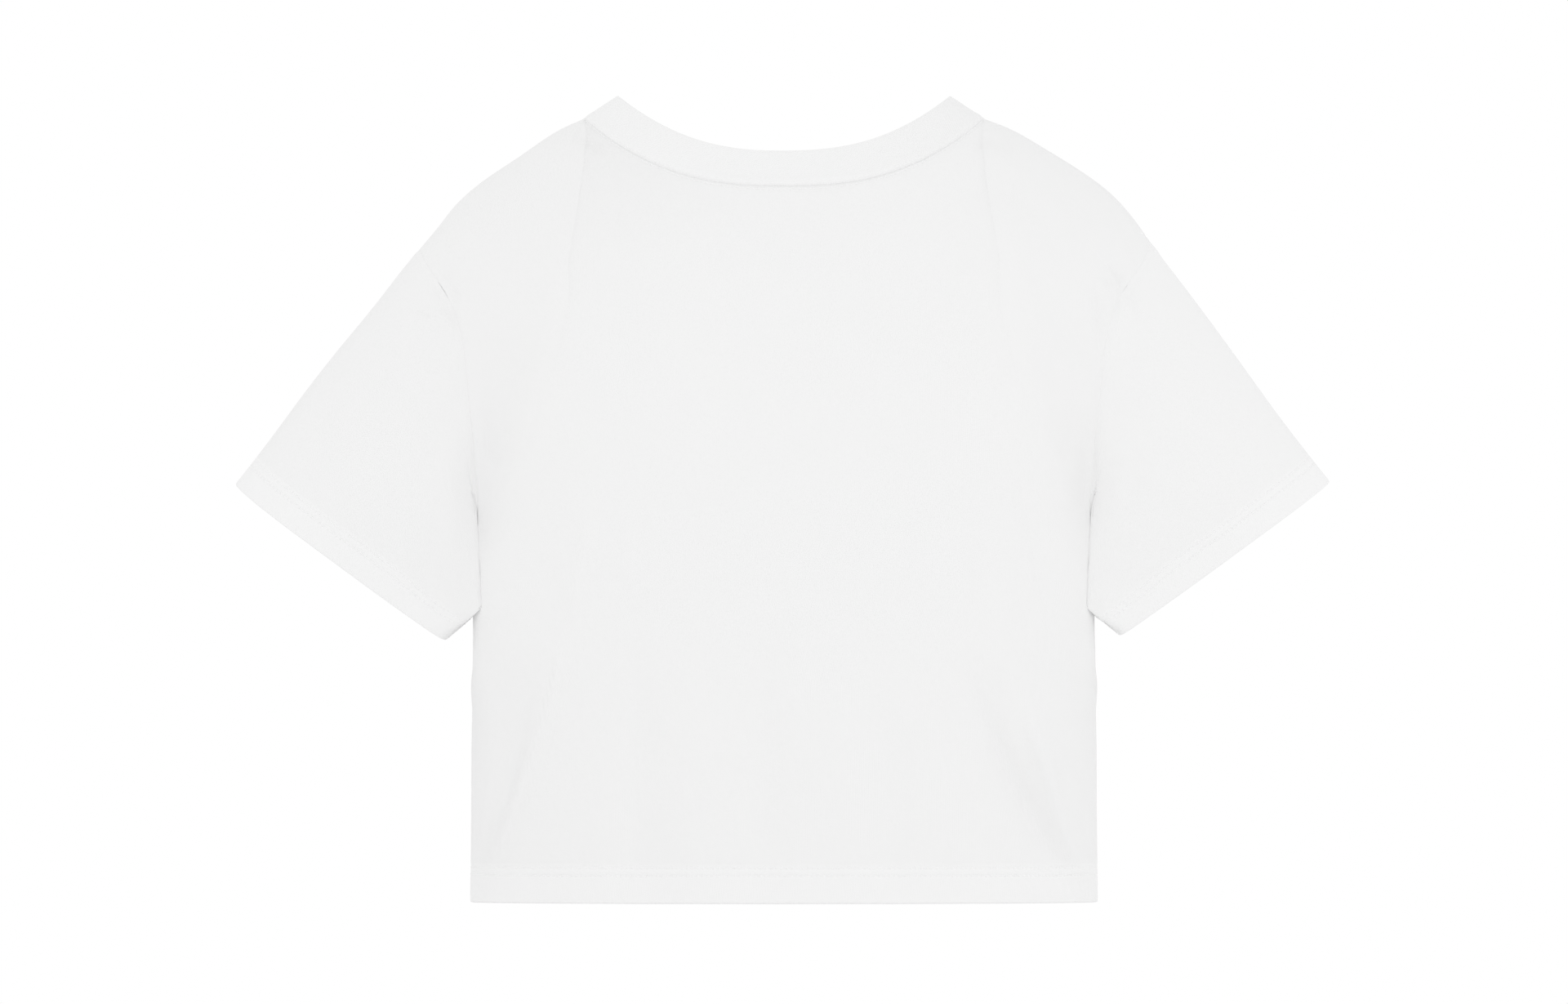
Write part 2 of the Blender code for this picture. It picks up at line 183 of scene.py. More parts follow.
Fold = namedtuple("Fold", "panel top_x top_z low_x low_z bow width rise")
FOLD_GROWS = 0.5
FOLD_FADES, FOLD_FADE = 0.85, 0.25
FOLD_CLEAR = 25
FOLDS = (
    Fold("back", -131, -300, -176, -462, 6, 9, 4.5),
    Fold("back", -158, -322, -184, -470, 5, 12, -5.0),
    Fold("back", 108, -322, 165, -465, -4, 13, -5.0),
    Fold("back", 140, -330, 176, -465, -4, 8, 4.0),
    Fold("back", -88, -300, -84, -500, 0, 15, -2.4),
    Fold("back", -12, -285, -14, -500, 0, 19, -2.4),
    Fold("back", 63, -335, 66, -500, 0, 15, -2.0),
    Fold("back", 133, -215, 150, -380, 3, 11, -2.4),
    Fold("front", -122, -290, -168, -465, 6, 10, 4.2),
    Fold("front", -150, -320, -181, -470, 4, 12, -4.6),
    Fold("front", 118, -300, 170, -465, -5, 12, -4.8),
    Fold("front", 96, -296, 132, -470, -4, 10, 3.4),
    Fold("front", -60, -270, -66, -500, 0, 17, -3.0),
    Fold("front", 22, -255, 28, -500, 0, 18, -2.8),
)

# ---------------------------------------------------------------- creases of the dressed cloth

# A crease runs from one place to another, as seen from behind, and rises or sinks. A lean makes
# its right side wider and its left side steeper, or the other way round where it is negative.
Crease = namedtuple("Crease", "face from_x from_z to_x to_z bow width rise lean")
CREASE_FADE = 0.35
CREASE_CLEAR = 12
CREASE_WANDER, CREASE_WANDER_TURN = 0.08, 9  # to both sides, as a share of its width
CREASE_UNEVEN, CREASE_UNEVEN_TURN, CREASE_UNEVEN_SHIFT = 0.18, 5.3, 1.7  # in height
CREASES = {
    "armholes": (
        Crease("back", -209, -108, -193, -124, 0, 5.2, -2.7, 0),
        Crease("back", -210, -130, -190, -137, 0, 5.2, 2.8, 0),
        Crease("back", -219, -126, -209, -134, 0, 2.6, 1.2, 0),
        Crease("back", 187, -92, 212, -136, 2, 3.8, -2.0, 0.3),
        Crease("back", 184, -102, 204, -140, 2, 4, 1.6, 0),
        Crease("back", 184, -118, 192, -160, 0, 3.2, -1.6, 0),
        Crease("back", 179, -114, 187, -140, 0, 3, 1.4, 0),
        Crease("front", -208, -108, -196, -140, 2, 4.5, -2.3, 0.2),
        Crease("front", -214, -134, -195, -144, 0, 5, 1.7, 0),
        Crease("front", 188, -98, 209, -134, 2, 4.2, -2.2, 0.2),
        Crease("front", 186, -116, 200, -146, 0, 4, 1.5, 0),
    ),
    "body": (
        Crease("back", -118, -236, -133, -334, 2, 5.5, 1.7, 0.3),
        Crease("back", -134, -224, -149, -322, 2, 8, -1.5, 0),
        Crease("back", -93, -232, -94, -300, 0, 6, 0.9, 0),
        Crease("back", 112, -205, 113, -300, 0, 6.5, 1.0, 0),
        Crease("back", 142, -196, 161, -262, 3, 5, 1.3, 0.2),
        Crease("back", -192, -180, -166, -226, -5, 6, -1.8, 0.4),
        Crease("back", 186, -178, 170, -262, 5, 6, -1.6, 0),
        Crease("back", -128, -16, -100, -33, -2, 4.2, -2.2, 0),
        Crease("back", 108, -27, 138, -31, 3, 5.0, -1.7, 0),
        Crease("back", -100, -36, -72, -48, 2, 6.0, -1.0, 0),
        Crease("back", 100, -50, 150, -66, 4, 11, -1.1, 0),
        Crease("back", -160, -60, -120, -110, 5, 13, -0.9, 0),
        Crease("back", -130, -306, -177, -464, 6, 4.6, 2.7, 0.2),
        Crease("back", -146, -322, -184, -466, 6, 7, -2.0, 0),
        Crease("back", 108, -330, 165, -464, -4, 4.8, -2.1, 0.2),
        Crease("back", 142, -342, 176, -464, -3, 4.2, 2.3, 0),
        Crease("back", -88, -296, -86, -478, 0, 6, -0.7, 0),
        Crease("back", -12, -282, -13, -478, 0, 9, -0.8, 0),
        Crease("back", 63, -345, 65, -478, 0, 6, -0.7, 0),
        Crease("back", 133, -212, 162, -372, 3, 4.5, -1.1, 0),
        Crease("back", -184, -286, -186, -374, 0, 8, 2.2, 0),
        Crease("back", 183, -286, 185, -374, 0, 8, 2.2, 0),
        Crease("back", 36, -330, 42, -500, 0, 12, 1.0, 0),
        Crease("back", -48, -340, -50, -500, 0, 14, 0.9, 0),
        Crease("back", 96, -380, 104, -500, 0, 9, 0.9, 0),
        Crease("front", -112, -205, -126, -312, 3, 8, 1.6, 0.3),
        Crease("front", -132, -214, -151, -318, 2, 9, -1.7, 0),
        Crease("front", 116, -196, 124, -300, -3, 9, 1.4, -0.2),
        Crease("front", 141, -188, 163, -262, 3, 6, -1.5, 0),
        Crease("front", -64, -190, -82, -330, 4, 14, -1.6, 0),
        Crease("front", 58, -184, 74, -352, -5, 15, -1.7, 0),
        Crease("front", -20, -300, -22, -500, 0, 14, 1.3, 0),
        Crease("front", -112, -360, -118, -500, 0, 11, -1.6, 0),
        Crease("front", 66, -380, 72, -500, 0, 12, 1.3, 0),
        Crease("front", -190, -176, -160, -232, -5, 6, -1.9, 0.4),
        Crease("front", 190, -180, 158, -238, 6, 7, -1.8, -0.3),
        Crease("front", -184, -286, -186, -374, 0, 8, 2.0, 0),
        Crease("front", 183, -286, 185, -374, 0, 8, 2.0, 0),
        Crease("front", -130, -26, -98, -52, -3, 6, -1.6, 0),
        Crease("front", 104, -38, 134, -30, 3, 6, -1.5, 0),
        Crease("front", -110, -120, -40, -146, 8, 13, -0.9, 0),
        Crease("front", 112, -112, 44, -142, -8, 13, -0.9, 0),
    ),
    "left": (
        Crease("back", -199, -196, -197, -290, 0, 6, 1.2, 0),
        Crease("back", -236, -146, -276, -216, 6, 12, -0.9, 0),
        Crease("back", -214, -176, -252, -262, -8, 11, 0.8, 0),
        Crease("back", -226, -100, -204, -112, 2, 5, -0.8, 0),
        Crease("back", -207, -250, -226, -312, 3, 7, -0.8, 0),
        Crease("front", -200, -200, -199, -296, 0, 7, 1.2, 0),
        Crease("front", -232, -150, -268, -232, 6, 11, -1.3, 0),
        Crease("front", -214, -180, -240, -270, -6, 9, 1.1, 0),
    ),
    "right": (
        Crease("back", 206, -126, 247, -174, 5, 9, -1.0, 0),
        Crease("back", 199, -200, 198, -284, 0, 6, 1.1, 0),
        Crease("back", 214, -190, 226, -250, -5, 12, 0.9, 0),
        Crease("back", 262, -176, 284, -226, 4, 10, -0.8, 0),
        Crease("front", 212, -130, 250, -196, 6, 10, -1.2, 0),
        Crease("front", 201, -204, 199, -288, 0, 7, 1.2, 0),
        Crease("front", 222, -210, 244, -268, -5, 9, 1.0, 0),
    ),
}

# The cloth's own unevenness: waves of a length, in a direction, of a height
Wave = namedtuple("Wave", "length direction height phase")
WAVES = (
    Wave(151, 0.12, 0.42, 0.4),
    Wave(98, -0.20, 0.26, 2.1),
    Wave(71, 0.34, 0.13, 4.4),
    Wave(167, 1.35, 0.30, 1.3),
    Wave(83, 1.75, 0.07, 5.2),
)
WAVE_CLEAR = 16  # waves flatten over this distance from a seam
WAVE_DEPTH = 0.6  # share of the depth that counts as distance across
REST_WIDE, REST_FADE, REST_HIGH, REST_REACH = 166, 12, -280, 40  # where sleeves lean on the body
SLEEVE_WAVES, COLLAR_WAVES, COLLAR_WAVE_CLEAR = 0.8, 0.25, 12
HEM_STIFF, HEM_STIFF_FADE = 0.25, 1.5  # the hem's double cloth flattens relief by this share
DOUBLE_FADE = 1.2  # double cloth thins out over this height at its turned-up edge

# Sewing
Seam = namedtuple("Seam", "dip dip_width roll pucker")
NECK_SEAM = Seam(dip=1.15, dip_width=0.9, roll=0.30, pucker=0.04)
NECK_FADE, NECK_FADE_POWER = 1.0, 3  # its dip fades by this share towards the collar's ends
FLAT_SEAM = Seam(dip=0.08, dip_width=1.2, roll=0.06, pucker=0.05)  # shoulders, armholes and sides
SEAM_ROLL_AT, SEAM_ROLL_WIDTH = 3.8, 2.4
SLEEVE_ROLL, SLEEVE_ROLL_AT, SLEEVE_ROLL_WIDTH = 0.30, 5.5, 3.0  # its allowances lie in the sleeve
PUCKER_LENGTH, PUCKER_REACH = 11.0, 4.5  # puckers drift in length and swell in height
PUCKER_DRIFT, PUCKER_DRIFT_RATE = 1.8, 0.31
PUCKER_MEAN, PUCKER_SWELL, PUCKER_SWELL_RATE = 0.6, 0.4, 0.23
SEAM_HOLD, SEAM_HOLD_REACH = 0.16, 6.0  # the armhole seams hold the creases that cross them
COLLAR_PROUD, COLLAR_STEP = 0.35, 1.6  # the rib stands above the jersey beside their seam
STITCH_DIP, STITCH_DIP_WIDTH = 0.30, 0.8
NECK_STITCH_DIP, NECK_STITCH_DIP_WIDTH = 0.24, 0.7
NECK_STITCH_PAST, NECK_STITCH_FADE = 3, 6  # their groove ends just past the neck's corners
NECK_ALLOWANCE_AND_HIGHLIGHT = 1.0  # half width of the double cloth under the neck's stitches, whose lighter white there is also a painted highlight
SIDE_CLEAR, STITCHES_CLEAR = 3, 20  # grooves fade out over these distances from a seam
STITCH_LENGTH, STITCH_PITCH, STITCH_START = 2.5, 3.1, 0.1
THREAD = 0.26
THREAD_ARCH, THREAD_SINK = 2.1, 1.2  # a stitch's rise and the depth of its ends, in threads
THREAD_SIDES, THREAD_RINGS = 6, 5
THREAD_LOOK = 0.3  # distance over which a thread's direction is taken
BAND_PUCKER, BAND_PUCKER_LENGTH, BAND_PUCKER_SLANT = 0.07, 7.0, 0.35
BAND_PUCKER_GROWS, BAND_PUCKER_FADES = 3, 5
BAND_DRIFT, BAND_DRIFT_RATE = 1.5, 0.17
SHARP_ANGLE = 50  # shading breaks at edges sharper than this


def quarter(t):
    """Height of a quarter circle: 0 at t = 0, steep there, and 1 from t = 1 on."""
    return np.sqrt(1 - (1 - np.clip(t, 0, 1)) ** 2)


def smoothstep(t):
    t = np.clip(t, 0, 1)
    return t * t * (3 - 2 * t)


def bump(distance, width):
    """A Gaussian: 1 at no distance, and 1/e at one width."""
    return np.exp(-((distance / width) ** 2))


def unit(vectors):
    return vectors / np.linalg.norm(vectors, axis=-1, keepdims=True)


def steps_along(points, axis):
    """Distance gone along one direction of a grid, from its first row or column."""
    step = np.linalg.norm(np.diff(points, axis=axis), axis=-1)
    gone = np.cumsum(step, axis=axis)
    return np.insert(gone, 0, 0, axis=axis)


def closed(values, axis=0):
    """Values of a ring, with the first ones once more after the last."""
    return np.concatenate([values, values.take([0], axis=axis)], axis=axis)


def stacked(values):
    """Values of the outer rows, carried round the rim and back up the inner rows."""
    return np.concatenate([values, values[-1:].repeat(RIM_STEPS, axis=0), values[::-1]])


def drifting_sine(turn, drift, rate):
    """A sine wave whose length drifts: sin(turn + drift * sin(rate * turn))."""
    return np.sin(turn + drift * np.sin(rate * turn))


def other_axis(share):
    """The superellipse's second coordinate, from 1 down to 0, where the first one is share."""
    return (1 - np.clip(np.abs(share), 0, 1) ** SECTION_POWER) ** (1 / SECTION_POWER)


def shoulder_line(x):
    """Height of the shoulder line over x, carried on across the neck at one slope."""
    far = np.where(x < 0, OUTLINE.at("left", -x), OUTLINE.at("right", x))
    return np.where(np.abs(x) < NECK_WIDE, NECK_HIGH + SHOULDER_RISE * (NECK_WIDE - np.abs(x)), far)


def neck_seam(x, panel):
    """Height of the collar seam over x."""
    line = NECK_LINES[panel]
    share = np.clip(np.abs(x) / NECK_WIDE, 0, 1)
    return NECK_HIGH - line.seam_drop * (1 - share**line.seam_power)


def armhole_cut(z):
    """Share of the section's depth at which the armhole cuts it: 0 under the armpit."""
    return BODY.at("armhole", z) * quarter((z - ARMPIT) / ARMPIT_ROUND)


def half_width(z):
    """From the middle to the armhole or the side seam, before the hollow under the arm."""
    return BODY.at("half_width", z) * other_axis(armhole_cut(z))


def hollow(depth, z):
    """How far the body's side is sunk under the arm, at a share of the section's depth."""
    return BODY.at("dent", z) * (1 - np.clip(depth / DENT_SHARE, 0, 1) ** 2) ** 2


def body_points(share, z, panel):
    """The body's outer surface at a share of its half width (-1 to 1) and a height."""
    section = share * other_axis(armhole_cut(z))
    depth = other_axis(section)
    x = BODY.at("half_width", z) * section - np.sign(share) * hollow(depth, z)
    out = BODY.at(panel, z) * depth * quarter((shoulder_line(x) - z) / SHOULDER_ROUND)
    return np.stack([x, -out if panel == "back" else out, np.broadcast_to(z, x.shape)], axis=-1)


def shoulder_point(side):
    """Distance out of the point where the armhole crosses the shoulder line."""
    z = SHOULDER_GUESS
    for _ in range(SHOULDER_TRIES):
        z = float(OUTLINE.at(side, half_width(z)))
    return float(half_width(z))


def top_edge():
    """Places across at which the columns start: the neck seam, then the shoulder seam."""
    neck = NECK_WIDE * np.sin(np.linspace(-0.5, 0.5, 2 * NECK_STEPS + 1) * np.pi)
    along = 1 - (1 - np.linspace(0, 1, SHOULDER_STEPS + 1)[1:]) ** EDGE_CROWDING
    left = -NECK_WIDE - (shoulder_point("left") - NECK_WIDE) * along
    right = NECK_WIDE + (shoulder_point("right") - NECK_WIDE) * along
    return np.concatenate([left[::-1], neck, right])


def fold_rise(points, panel):
    """How far the folds move each point of a panel outwards; 0 along the side seams."""
    x, z = points[..., 0], points[..., 2]
    rise = np.zeros(x.shape)
    for fold in FOLDS:
        if fold.panel != panel:
            continue
        along = (fold.top_z - z) / (fold.top_z - fold.low_z)
        middle = fold.top_x + (fold.low_x - fold.top_x) * along + 4 * fold.bow * along * (1 - along)
        ends = smoothstep(along / FOLD_GROWS) * (1 - smoothstep((along - FOLD_FADES) / FOLD_FADE))
        rise += fold.rise * ends * bump(x - middle, fold.width)
    return rise * smoothstep(np.abs(points[..., 1]) / FOLD_CLEAR)


def panel_grid(panel):
    """Outer points of a panel: rows down from the neck and shoulders, columns left to right."""
    x_top = top_edge()
    z_top = np.where(np.abs(x_top) < NECK_WIDE, neck_seam(x_top, panel), shoulder_line(x_top))
    at_top = x_top / half_width(z_top)
    at_top[[0, -1]] = -1, 1
    turn = np.linspace(-1, 1, len(x_top))
    at_hem = np.sin(np.sign(turn) * (1 - (1 - np.abs(turn)) ** EDGE_CROWDING) * np.pi / 2)
    t = np.linspace(0, 1, YOKE_STEPS + 1)[:, None]
    by_armhole = smoothstep(1 - (1 - np.abs(at_top)) / ARMHOLE_SHARE)
    fall = (1 - by_armhole) * t**ROW_CROWDING + by_armhole * (1 - np.cos(np.pi * t)) / 2
    yoke = z_top + (ARMPIT - z_top) * fall
    band_top = BODY_HEM + BODY_BAND + BAND_CLEAR
    down = np.linspace(ARMPIT, band_top, SIDE_STEPS + 1)[1:]
    band = np.linspace(band_top, BODY_HEM + HEM / 2, BAND_ROWS + 1)[1:]
    below = np.repeat(np.concatenate([down, band])[:, None], len(x_top), axis=1)
    z = np.concatenate([yoke, below])
    spread = smoothstep((z_top - z) / (z_top - ARMPIT))
    share = at_top + (at_hem - at_top) * spread
    grid = body_points(share, z, panel)
    normals = grid_normals(grid, False)
    if panel == "front":
        normals = -normals
    return grid + normals * fold_rise(grid, panel)[..., None]


def grid_normals(grid, ring):
    """Unit normals of a grid, across its rows and columns; a ring's columns close on themselves."""
    if ring:
        across = np.roll(grid, -1, axis=1) - np.roll(grid, 1, axis=1)
    else:
        across = np.gradient(grid, axis=1)
    return unit(np.cross(np.gradient(grid, axis=0), across))


def armhole_ring(back, front, side):
    """The armhole's points: down the back from the shoulder point, then up the front."""
    column = 0 if side == "left" else -1
    down = back[: YOKE_STEPS + 1, column]
    up = front[1:YOKE_STEPS, column][::-1]
    return np.concatenate([down, up])


def ring_turns(ring):
    """How far round each point of a ring lies, with half a turn between its top and its armpit."""
    half = YOKE_STEPS
    gone = steps_along(closed(ring), 0)
    down = 0.5 * gone[: half + 1] / gone[half]
    up = 0.5 + 0.5 * (gone[half + 1 : -1] - gone[half]) / (gone[-1] - gone[half])
    return np.concatenate([down, up])


def cuff_ring(cuff, sign, turn):
    """The cuff's points at each turn: a superellipse, boxier under the arm, that can bow out."""
    power = CUFF_POWER + (UNDER_POWER - CUFF_POWER) * (1 - np.cos(turn)) / 2
    up, out = (np.sign(v) * np.abs(v) ** (2 / power) for v in (np.cos(turn), -np.sin(turn)))
    outer = np.array([sign * cuff.outer_x, 0, cuff.outer_z])
    inner = np.array([sign * cuff.inner_x, 0, cuff.inner_z])
    inwards = unit(np.cross(outer - inner, [0, sign, 0]))
    ring = (outer + inner) / 2 + up[:, None] * (outer - inner) / 2
    return ring + out[:, None] * [0, CUFF_DEPTH, 0] - (cuff.bow * np.abs(out))[:, None] * inwards


def sleeve_grid(back, front, side):
    """Outer points of a sleeve: rows from the armhole to the cuff, columns round it."""
    sign = -1 if side == "left" else 1
    start = armhole_ring(back, front, side)
    turn = 2 * np.pi * ring_turns(start)
    end = cuff_ring(CUFFS[side], sign, turn)
    length = np.linalg.norm(end - start, axis=1)
    band_top = 1 - (CUFF_BAND + BAND_CLEAR) / length
    sleeve = (np.linspace(0, 1, SLEEVE_STEPS + 1) ** EDGE_CROWDING)[:, None] * band_top
    band = np.linspace(0, 1, BAND_ROWS + 1)[1:, None] * (1 - HEM / 2 / length - band_top) + band_top
    share = np.concatenate([sleeve, band])
    grid = start + share[..., None] * (end - start)
    upper = (1 + np.cos(turn)) / 2
    edge = start[0] + share[..., None] * (end[0] - start[0])
    lift = OUTLINE.at(side, np.abs(edge[..., 0])) - edge[..., 2]
    grid[..., 2] += upper * lift * (1 - share**CUFF_HOLD)
    grid[..., 0] -= sign * (1 - upper) * UNDERARM_BOW * 4 * share * (1 - share)
    turned = smoothstep(share / UNDERARM_TURNED)
    grid[..., 1] -= (1 - upper) ** 2 * UNDERARM_TURN * turned
    grid[..., 1] -= (1 - upper) ** FOLD_TURN_HOLD * FOLD_TURN * turned
    return lean(grid, sign, np.abs(turn / np.pi - 1), share)


def leaning(from_under, share):
    """Share in which a sleeve's cloth leans on the body: 1 at its lower corners, 0 elsewhere."""
    corner = smoothstep((LEAN_TOP - from_under) / LEAN_FADE) * smoothstep(from_under / LEAN_FOLD)
    ends = smoothstep((share - LEAN_START) / LEAN_GROWS) * smoothstep((1 - share) / LEAN_END)
    return corner * ends


def body_side(y, z):
    """How far out the body's side is at a depth and a height, with the hollow under the arm."""
    depth = np.abs(y) / np.where(y < 0, BODY.at("back", z), BODY.at("front", z))
    return BODY.at("half_width", z) * other_axis(depth) - hollow(depth, z)


def lean(grid, sign, from_under, share):
    """Leans a sleeve's lower corners on the body, behind and in front of the fold under the arm.

    A corner moves sideways, as far as the body or the sleeve's own underside edge lets it, with
    a share that fades upwards round the sleeve, towards the fold, and at the sleeve's two ends.
    """
    out = sign * grid[..., 0]
    under = grid[:, YOKE_STEPS]
    edge = np.interp(-grid[..., 2], -under[:, 2], sign * under[:, 0])
    rest = np.maximum(body_side(grid[..., 1], grid[..., 2]) + LEAN_CLEAR, edge)
    grid[..., 0] -= sign * leaning(from_under, share) * np.maximum(out - rest, 0)
    return grid


def collar_grid(back, front):
    """Outer points of the collar: rows from its seam up to its edge, columns round it."""
    seam = np.concatenate([back[0, NECK], front[0, NECK][-2:0:-1]])
    at = np.clip(seam[:, 0] / NECK_WIDE, -1, 1)
    back_edge, front_edge = (
        -line.edge_drop * (1 - np.abs(at) ** line.edge_power) for line in NECK_LINES.values()
    )
    high = np.where(seam[:, 1] < 0, back_edge, front_edge)
    edge = np.stack([COLLAR_WIDE * at, COLLAR_LEAN * seam[:, 1], high], axis=-1)
    length = np.linalg.norm(edge - seam, axis=1)[:, None]
    share = (np.linspace(0, 1, COLLAR_STEPS + 1) ** EDGE_CROWDING)[:, None, None]
    return seam + share * (1 - COLLAR / 2 / length) * (edge - seam)


def share_seam_directions(pieces):
    """Gives points that pieces share at a seam one direction inwards, so that the cloth meets.

    It is the mean of the pieces' own, in which two panels beside a third piece count half each.
    Round an armhole, where the cloth folds back sharply, it is the way to the armhole's middle.
    """
    points = np.concatenate([piece.grid.reshape(-1, 3) for piece in pieces])
    normals = np.concatenate([piece.normals.reshape(-1, 3) for piece in pieces])
    weight = np.concatenate([np.full(piece.size, 1 if piece.ring else 0.5) for piece in pieces])
    weight[np.abs(points[:, 1]) > TOUCHING] = 1
    _, place = np.unique(np.round(points, SHARED_DECIMALS), axis=0, return_inverse=True)
    place = place.reshape(-1)
    total = np.zeros((place.max() + 1, 3))
    np.add.at(total, place, weight[:, None] * normals)
    starts = np.cumsum([0] + [piece.size for piece in pieces])
    for piece, start in zip(pieces, starts):
        if piece.hub is not None:
            ring = place[start : start + piece.grid.shape[1]]
            total[ring] = piece.grid[0] - piece.hub
    inward = -unit(total)[place]
    for piece, start in zip(pieces, starts):
        piece.inward = inward[start : start + piece.size].reshape(piece.grid.shape)


# ---------------------------------------------------------------- relief on the form


def crease_rise(points, creases):
    """Sum of the creases: each is a bump across its own line, faded at both ends."""
    x, y, z = np.moveaxis(points, -1, 0)
    rise = np.zeros(x.shape)
    for number, crease in enumerate(creases):
        way = np.array([crease.to_x - crease.from_x, crease.to_z - crease.from_z], float)
        long = np.hypot(*way)
        way /= long
        along = ((x - crease.from_x) * way[0] + (z - crease.from_z) * way[1]) / long
        off = (x - crease.from_x) * -way[1] + (z - crease.from_z) * way[0]
        inside = np.clip(along, 0, 1)
        wander = CREASE_WANDER * crease.width * np.sin(CREASE_WANDER_TURN * along + number)
        off = off - 4 * crease.bow * inside * (1 - inside) - wander
        wide = crease.width * (1 + crease.lean * np.sign(off))
        ends = smoothstep(along / CREASE_FADE) * smoothstep((1 - along) / CREASE_FADE)
        turn = CREASE_UNEVEN_TURN * along + CREASE_UNEVEN_SHIFT * number
        uneven = 1 + CREASE_UNEVEN * np.sin(turn)
        face = smoothstep((-y if crease.face == "back" else y) / CREASE_CLEAR)
        rise += crease.rise * ends * uneven * face * bump(off, wide)
    return rise


def wave_rise(points):
    """The cloth's own unevenness: the sum of a few long sine waves over the surface."""
    across, up = points[..., 0] + WAVE_DEPTH * points[..., 1], points[..., 2]
    rise = np.zeros(across.shape)
    for wave in WAVES:
        place = np.cos(wave.direction) * across + np.sin(wave.direction) * up
        rise += wave.height * np.sin(2 * np.pi * place / wave.length + wave.phase)
    return rise


def neck_depth(x):
    """Share of the neck seam's dip over x."""
    return 1 - NECK_FADE * np.clip(np.abs(x) / NECK_WIDE, 0, 1) ** NECK_FADE_POWER


def seam_rise(seam, distance, along, depth=1):
    """A seam sinks into the cloth, which rolls up beside it and puckers along it, unevenly."""
    dip = -seam.dip * depth * bump(distance, seam.dip_width)
    roll = seam.roll * bump(distance - SEAM_ROLL_AT, SEAM_ROLL_WIDTH)
    turn = 2 * np.pi * along / PUCKER_LENGTH
    pucker = drifting_sine(turn, PUCKER_DRIFT, PUCKER_DRIFT_RATE)
    pucker *= PUCKER_MEAN + PUCKER_SWELL * np.sin(PUCKER_SWELL_RATE * turn + 1)
    reach = (distance / seam.dip_width) * np.exp(-distance / PUCKER_REACH)
    return dip + roll + seam.pucker * pucker * reach / (1 + reach)


def beside_seam(distance):
    """Share of a crease that reaches over a seam: low at the seam, and 1 a little away from it."""
    return SEAM_HOLD + (1 - SEAM_HOLD) * smoothstep(distance / SEAM_HOLD_REACH)


def stitch_rise(distance, along, rows):
    """Each stitch row presses a groove, and the cloth between the rows and the edge puckers."""
    rise = np.zeros(distance.shape)
    for row in rows:
        rise -= STITCH_DIP * bump(distance - row, STITCH_DIP_WIDTH)
    turn = 2 * np.pi * (along + BAND_PUCKER_SLANT * distance) / BAND_PUCKER_LENGTH
    under = 1 - smoothstep((distance - rows[-1]) / BAND_PUCKER_FADES)
    under *= smoothstep(distance / BAND_PUCKER_GROWS)
    return rise + BAND_PUCKER * under * drifting_sine(turn, BAND_DRIFT, BAND_DRIFT_RATE)


